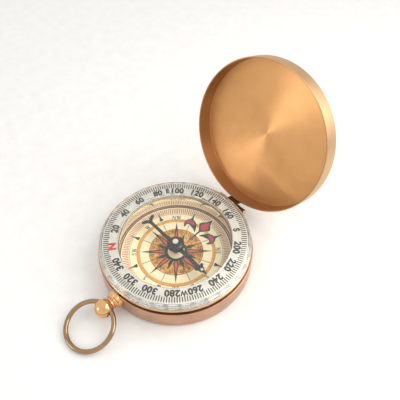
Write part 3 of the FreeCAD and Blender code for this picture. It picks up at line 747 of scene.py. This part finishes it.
def paint_dot(name, node):
    """Low dome of thick paint where the CAD dot is."""
    low, high = span(node)
    radius = (high.x - low.x) / 2
    height = high.z - low.z
    sunk, edge, steps = 0.05, 0.1, 10
    outline = [Vector((0, -sunk)), Vector((radius, -sunk)), Vector((radius, edge * height))]
    for step in range(1, steps):
        angle = step * math.pi / (2 * steps)
        outline.append(Vector((radius * math.cos(angle), height * (edge + (1 - edge) * math.sin(angle)))))
    outline.append(Vector((0, height)))
    middle = (low + high) / 2
    spot = Matrix.Translation(Vector((middle.x, middle.y, low.z)) * MM)
    piece(name, Shape().lathe(outline, 48).mesh(name), lume.material, "needle", [node], spot)


# ---------------------------------------------------------------------------------- card printing
LAYER = 0.014
LETTER_STEP = 0.0012
POINTS = 8
NORTH_POINT = 2


def layer(level):
    """Low and high faces of a print layer; every layer starts inside the one below it."""
    return CARD_TOP + LAYER * (level - 1), CARD_TOP + LAYER * level


def print_rings(name, rings, level, finish):
    """Flat rings of (inner radius, outer radius)."""
    low, high = layer(level)
    shape = Shape()
    for inner, outer in rings:
        shape.lathe([(inner, low), (outer, low), (outer, high), (inner, high)], 180)
    piece(name, shape.mesh(name), finish.material, "case")


def print_shapes(name, outlines, level, finish):
    low, high = layer(level)
    shape = Shape()
    for outline in outlines:
        shape.prism(turned_by(outline, CARD_TURN), low, high)
    piece(name, shape.mesh(name), finish.material, "case")


def around(outline, start, count):
    """The outline, drawn pointing along +X, repeated round the card."""
    return [turned_by(outline, start + 360 * turn / count) for turn in range(count)]


def star_point(base, half, waist, tip):
    """Long kite that points along +X."""
    return [(base, -half * 0.55), (waist, -half), (tip, 0), (waist, half), (base, half * 0.55)]


def points_but_north(base, half, waist, tip):
    """Star points round the card, apart from the one that the north mark covers."""
    every = around(star_point(base, half, waist, tip), 0, POINTS)
    return [outline for index, outline in enumerate(every) if index != NORTH_POINT]


def stroke(start, end, width):
    """Bar between two points."""
    start, end = Vector(start), Vector(end)
    side = (end - start).orthogonal().normalized() * width / 2
    return [start - side, end - side, end + side, start + side]


LETTERS = {
    # each letter is (width, strokes), one unit high with its foot at 0, 0; a stroke is (start, end, width)
    "N": (0.86, [((0.14, 0), (0.14, 1), 0.1), ((0.72, 0), (0.72, 1), 0.1), ((0.1, 1), (0.74, 0), 0.2),
                 ((0, 0.03), (0.28, 0.03), 0.07), ((0, 0.97), (0.2, 0.97), 0.07),
                 ((0.58, 0.97), (0.86, 0.97), 0.07)]),
    "E": (0.7, [((0.18, 0), (0.18, 1), 0.2), ((0, 0.04), (0.66, 0.04), 0.08), ((0, 0.96), (0.64, 0.96), 0.08),
                ((0.18, 0.52), (0.48, 0.52), 0.08), ((0.64, 0), (0.64, 0.26), 0.07),
                ((0.62, 0.76), (0.62, 1), 0.07)]),
    "W": (1.1, [((0.14, 1), (0.38, 0), 0.18), ((0.38, 0), (0.56, 0.85), 0.09),
                ((0.52, 1), (0.78, 0), 0.18), ((0.78, 0), (0.98, 1), 0.09),
                ((0, 0.97), (0.3, 0.97), 0.07), ((0.84, 0.97), (1.1, 0.97), 0.07)]),
    "S": (0.62, [((0.54, 0.72), (0.5, 0.94), 0.08), ((0.5, 0.93), (0.22, 0.95), 0.1),
                 ((0.24, 0.96), (0.1, 0.74), 0.14), ((0.1, 0.78), (0.52, 0.34), 0.19),
                 ((0.52, 0.38), (0.42, 0.05), 0.14),
                 ((0.44, 0.05), (0.12, 0.05), 0.1), ((0.1, 0.04), (0.06, 0.28), 0.08)]),
}


def card_letters():
    """Serif compass letters, tops outward; their strokes overlap in steps too thin to see."""
    size, middle, gap = 1.4, 13.35, 0.16
    shape = Shape()
    low, high = layer(2)
    points = (("E", 0), ("NE", 45), ("NW", 135), ("W", 180), ("SW", 225), ("S", 270), ("SE", 315))
    for word, angle in points:
        width = sum(LETTERS[letter][0] for letter in word) + gap * (len(word) - 1)
        x = -width / 2
        for letter in word:
            for index, (start, end, thick) in enumerate(LETTERS[letter][1]):
                bar = [Vector((x + point.x, point.y - 0.5)) * size + Vector((0, middle))
                       for point in stroke(start, end, thick)]
                shape.prism(turned_by(bar, angle - 90 + CARD_TURN), low, high + LETTER_STEP * index)
            x += LETTERS[letter][0] + gap
    piece("card_letters", shape.mesh("card_letters"), ink_letters.material, "case")


def fleur():
    """North mark: diamond foot, stem, tall lozenge and two curled petals. It points along +Y."""
    lozenge = [(0, 10.3), (1.15, 11.6), (2.3, 12.95), (1.75, 14.0), (1.0, 14.75), (0.55, 15.7), (0, 17.0)]
    lozenge += [(-x, y) for x, y in reversed(lozenge[1:-1])]
    inside = [(0, 11.15), (0.85, 12.0), (1.5, 12.95), (1.1, 13.8), (0.55, 14.6), (0, 15.4)]
    inside += [(-x, y) for x, y in reversed(inside[1:-1])]
    flame = [(0, 11.6), (0.62, 12.6), (0.6, 13.6), (0, 14.7), (-0.6, 13.6), (-0.62, 12.6)]
    petal = [(1.05, 9.35), (1.75, 10.75), (2.75, 11.95), (4.2, 12.55), (5.55, 12.25), (6.3, 11.1),
             (6.2, 9.9), (5.4, 8.85), (4.75, 8.75), (5.1, 9.45), (4.9, 10.05), (4.2, 10.4), (3.3, 10.15),
             (2.3, 9.95)]
    flesh = [(3.05, 11.35), (4.2, 12.1), (5.35, 11.85), (5.95, 10.9), (5.8, 9.85), (5.35, 9.3), (5.45, 10.0),
             (4.95, 10.55), (4.1, 10.85)]
    stem = [(-0.2, 7.3), (0.2, 7.3), (0.28, 10.7), (-0.28, 10.7)]
    foot = [(0, 5.8), (0.72, 6.7), (0, 7.6), (-0.72, 6.7)]
    foot_inside = [(0, 6.15), (0.42, 6.7), (0, 7.25), (-0.42, 6.7)]
    dark_petal = smoothed(petal, 4)
    pink_petal = smoothed(flesh, 4)
    wide, tall, root = 1.16, 1.08, 10.1
    gap = [(x * wide, root + (y - root) * tall) for x, y in lozenge]
    print_shapes("fleur_gap", [gap], 6, card_cream)
    print_shapes("fleur_petals", [dark_petal, mirrored(dark_petal)], 7, ink_green)
    print_shapes("fleur_flesh", [pink_petal, mirrored(pink_petal)], 8, ink_petal)
    print_shapes("fleur_stem", [stem, foot], 7, ink_green)
    print_shapes("fleur_lozenge", [lozenge], 8, ink_green)
    print_shapes("fleur_red", [inside, foot_inside], 9, ink_petal)
    print_shapes("fleur_flame", [smoothed(flame, 4)], 10, ink_scarlet)


def card_print():
    """Rings, track, wedges, scrolls, star and letters of the compass card, mostly from the lowest ink up."""
    between = 180 / POINTS
    print_rings("card_track", [(14.8, 17.4)], 1, ink_track)
    # brown ring at the card's rim: painted shadow where the reflector wall stands on the card
    print_rings("card_edge_shade", [(17.5, 17.93)], 1, ink_brown)
    print_rings("card_ochre", [(0.0, 8.6)], 1, ink_ochre)
    print_rings("card_gold", [(11.5, 12.5)], 1, ink_gold)
    print_rings("card_lines", [(8.5, 8.64), (12.46, 12.56), (14.75, 14.84)], 2, ink_brown)
    tick = [(15.1, -0.14), (17.1, -0.14), (17.1, 0.14), (15.1, 0.14)]
    print_shapes("card_ticks", around(tick, 1, 160), 2, ink_rose)
    fine = [(8.7, -0.08), (11.45, -0.08), (11.45, 0.08), (8.7, 0.08)]
    print_shapes("card_spokes", around(fine, between, POINTS), 2, ink_green)
    wedge = smoothed([(13.0, -0.58), (13.7, -0.44), (14.6, -0.2), (16.1, 0), (14.6, 0.2), (13.7, 0.44),
                      (13.0, 0.58)], 3)
    print_shapes("card_wedges", around(wedge, between, POINTS), 3, ink_green)
    low, high = layer(3)
    scrolls = Shape()
    for spot in around([(7.3, 1.35), (7.3, -1.35)], 0, POINTS):
        for middle in spot:
            curl = Shape().lathe([(0.34, low), (0.5, low), (0.5, high), (0.34, high)], 20)
            scrolls.add([(x + middle[0], y + middle[1], z) for x, y, z in curl.corners], curl.faces)
    piece("card_scrolls", scrolls.mesh("card_scrolls"), ink_brown.material, "case")
    veins = [(6.5, -0.06), (8.6, -0.06), (8.6, 0.06), (6.5, 0.06)]
    print_shapes("card_veins", around(veins, between, POINTS), 2, ink_brown)
    short_points = around(star_point(3.2, 0.62, 4.6, 7.1), between, POINTS)
    print_shapes("card_short_points", short_points, 3, ink_green)
    print_shapes("card_long_points", points_but_north(3.2, 0.86, 4.4, 11.5), 4, ink_green)
    print_shapes("card_point_edges", points_but_north(3.3, 0.74, 4.5, 8.6), 5, ink_brown)
    print_shapes("card_point_hearts", points_but_north(3.4, 0.44, 4.7, 7.9), 6, ink_pink)
    print_rings("card_hub_ring", [(2.7, 3.65)], 7, ink_green)
    print_rings("card_hub_disc", [(0.99, 2.72)], 6, card_cream)
    card_letters()
    fleur()


# ---------------------------------------------------------------------------------- lid and hinge
def open_spot():
    """Where a piece drawn with the lid shut goes when the lid stands open."""
    swing = Matrix.Rotation(math.radians(-LID_OPEN), 4, "X")
    return Matrix.Translation(HINGE_SPOT) @ swing @ Matrix.Translation(-HINGE_SPOT)


def lid():
    """Spun lid: rounded outer edge, thin wall and a rolled rim."""
    inner = LID_RADIUS - LID_WALL
    roof = LID_TOP - LID_WALL
    outline = rounded([
        (0, roof, 0), (inner, roof, 0.12), (inner, LID_LOW, 0.18), (LID_RADIUS, LID_LOW, 0.18),
        (LID_RADIUS, LID_TOP, 1.3), (0, LID_TOP, 0),
    ], 8)
    piece("lid_cover", Shape().lathe(outline).mesh("lid_cover"), lid_brass.material,
          "lid", ["lid_shell"], open_spot())


def dressed(node, finish, bevel=0.0):
    """A CAD node that stays, with its material and, where it helps, softened edges."""
    item = frame["nodes"][node]
    item.data.materials.clear()
    item.data.materials.append(finish.material)
    if bevel:
        weld = item.modifiers.new("weld", "WELD")
        weld.merge_threshold = 1e-6
        edge = item.modifiers.new("edge", "BEVEL")
        edge.width = bevel * MM
        edge.segments = 3
        edge.limit_method = "ANGLE"
        edge.angle_limit = math.radians(40)
        edge.harden_normals = True


def pin():
    """Hinge pin with a domed head at the +X end."""
    radius, head = 0.5, (pin_high.z - pin_low.z) / 2
    length = pin_high.x - pin_low.x
    outline = rounded([
        (0, 0, 0), (radius, 0, 0.12), (radius, length - 0.48, 0.02), (head, length - 0.48, 0.08),
        (head, length - 0.1, 0.25), (0.35, length, 0.3), (0, length, 0),
    ], 6)
    lying = Matrix.Translation(Vector((pin_low.x * MM, HINGE_SPOT.y, HINGE_SPOT.z)))
    lying = lying @ Matrix.Rotation(math.radians(90), 4, "Y")
    piece("hinge_rod", Shape().lathe(outline, 64).mesh("hinge_rod"), polished.material,
          "case", ["hinge_pin"], lying)


# ---------------------------------------------------------------------------------- crown and bow
def outward_spot():
    """Turns a piece drawn along +Z so that it points out of the case at the crown."""
    return Matrix.Translation(Vector((0, 0, STEM_Z * MM))) @ Matrix.Rotation(math.radians(90), 4, "X")


def pendant():
    """Turned neck: broad flange on the case wall, waisted collar and a rolled mouth."""
    flange = (pendant_high.x - pendant_low.x) / 2
    mouth = -pendant_low.y
    root, step, bore, well = 24.5, 26.2, 1.0, 1.9
    outline = rounded([
        (bore, root, 0), (flange, root, 0), (flange, 25.85, 0.12), (flange - 0.25, 26.08, 0.12),
        (2.3, step, 0.15), (2.18, 26.6, 0.2), (2.35, mouth - 0.12, 0.1), (2.3, mouth, 0.06),
        (well, mouth, 0.05), (well, step, 0.05), (bore, step, 0),
    ], 6)
    piece("pendant_neck", Shape().lathe(outline, 128).mesh("pendant_neck"), polished.material,
          "case", ["pendant"], outward_spot())


def crown():
    """Ball with a short hub and a round cross hole for the bow."""
    middle = 29.9
    hub, hub_start = 1.8, 26.85
    meet = math.degrees(math.acos(hub / BALL_RADIUS))
    outline = [Vector((0, hub_start)), Vector((hub - 0.1, hub_start)), Vector((hub, hub_start + 0.1))]
    steps = 48
    outline += [Vector((0, middle)) + polar(BALL_RADIUS, -meet + (90 + meet) * step / steps)
                for step in range(steps)]
    outline.append(Vector((0, middle + BALL_RADIUS)))
    ball = Shape().lathe(outline, 128).mesh("ball")
    bore, half = 1.72, 5
    hole = Shape().lathe([(0, -half), (bore, -half), (bore, half), (0, half)], 64).mesh("hole")
    across = Matrix.Rotation(math.radians(90), 4, "Y")
    hole.transform(Matrix.Translation(Vector((0, STEM_Z - 4.9, 29.35)) * MM) @ across)
    drilled = bevelled(minus(ball, hole), 0.14, 40)
    piece("crown_knob", drilled, polished.material, "crown", ["crown_ball"], outward_spot())


def bow():
    """Round wire ring, closed by a butt joint that shows as a fine groove."""
    radius, wire, steps = 7.57, 0.75, 36
    near = 5.0
    joint_turn, joint_half, joint_depth = 300, 0.7, 0.06
    rise = near - wire - 0.02
    tilt = math.asin(rise / (2 * radius))
    spot = Matrix.Translation(Vector((0.9, -36.25, near - rise / 2)) * MM)
    spot = spot @ Matrix.Rotation(math.radians(3), 4, "Z") @ Matrix.Rotation(tilt, 4, "X")

    def joint(far, height, angle):
        turn = math.degrees(angle) % 360
        groove = joint_depth * max(0.0, 1 - abs(turn - joint_turn) / joint_half)
        out = Vector((far - radius, height))
        return radius + (out - out.normalized() * groove).x

    section = [Vector((radius, 0)) + polar(wire, 360 * step / steps) for step in range(steps)]
    ring = Shape().lathe(section, 360, joint).mesh("bow")
    piece("bow_wire", ring, bow_brass.material, "bow", ["bow_ring"], spot)


# ---------------------------------------------------------------------------------- build
case_cup()
seat_ring()
reflector()
crystal()
clear_bezel()
degree_plate()
degree_print()
blade()
cap()
paint_dot("cap_dot", "lume_dot_cap")
paint_dot("tip_dot", "lume_dot_tip")
card_print()
lid()
pin()
pendant()
crown()
bow()

dressed("dial_card", card_cream)
dressed("dial_housing", ivory)
dressed("card_plate", pin_steel)
dressed("crystal_gasket", rubber)
dressed("pivot_boss", polished)
dressed("pivot_pin", pin_steel)
dressed("pivot_jewel", ruby)
dressed("bezel_snap_wire", spring_steel)
dressed("crown_stem", pin_steel)
dressed("latch_spring", spring_steel, 0.06)
dressed("latch_screw", pin_steel, 0.06)
dressed("case_hinge_leaf", hinge_shade_brass, 0.12)
dressed("lid_hinge_leaf", hinge_shade_brass, 0.12)


# ---------------------------------------------------------------------------------- stage
SKY_GLOW = 1.0


def stage_floor():
    """Plain pale paper."""
    paper = plain("paper", tone(232, 232, 231), tone(238, 238, 237), 5.0, 0.8, 0.95,
                  Specular_IOR_Level=0.1)
    reach, thick = 900.0, 2.0
    outline = [(-reach, -reach), (reach, -reach), (reach, reach), (-reach, reach)]
    mesh = Shape().prism(outline, -thick, 0.0).mesh("floor")
    mesh.materials.append(paper.material)
    floor = bpy.data.objects.new("floor", mesh)
    bpy.context.scene.collection.objects.link(floor)


def soft_light(name, spot, aim, size, power, colour=(1.0, 1.0, 1.0)):
    """Square softbox; places in millimetres."""
    lamp = bpy.data.lights.new(name, "AREA")
    lamp.shape = "SQUARE"
    lamp.size = size * MM
    lamp.energy = power
    lamp.color = colour
    holder = bpy.data.objects.new(name, lamp)
    holder.location = Vector(spot) * MM
    holder.rotation_euler = (Vector(aim) - Vector(spot)).to_track_quat("-Z", "Y").to_euler()
    bpy.context.scene.collection.objects.link(holder)


def sky():
    """Plain surround, the same warm white all round."""
    world = bpy.data.worlds.new("studio")
    bpy.context.scene.world = world
    world.use_nodes = True
    background = world.node_tree.nodes["Background"]
    background.inputs["Color"].default_value = (1.0, 0.985, 0.965, 1.0)
    background.inputs["Strength"].default_value = SKY_GLOW


def camera():
    """The viewing angle of a hand-held product shot from above the crown side."""
    spot = Vector((73.387, -60.692, 144.150)) * MM
    target = Vector((-3.170, 14.304, 15.201)) * MM
    roll = math.radians(-0.47)
    lens = bpy.data.cameras.new("camera")
    lens.lens = 46.03
    lens.sensor_width = 36.0
    lens.clip_start = 0.01
    view = bpy.data.objects.new("camera", lens)
    facing = (target - spot).to_track_quat("-Z", "Y").to_matrix().to_4x4()
    view.matrix_world = Matrix.Translation(spot) @ facing @ Matrix.Rotation(roll, 4, "Z")
    bpy.context.scene.collection.objects.link(view)
    bpy.context.scene.camera = view


stage_floor()
sky()
camera()
soft_light("key", (104, 96, 124), (8, 0, 4), 170, 0.24, (1.0, 0.96, 0.9))
soft_light("front", (-86, -200, 80), (0, 40, 30), 60, 0.05)
bpy.context.scene.view_settings.view_transform = "Standard"
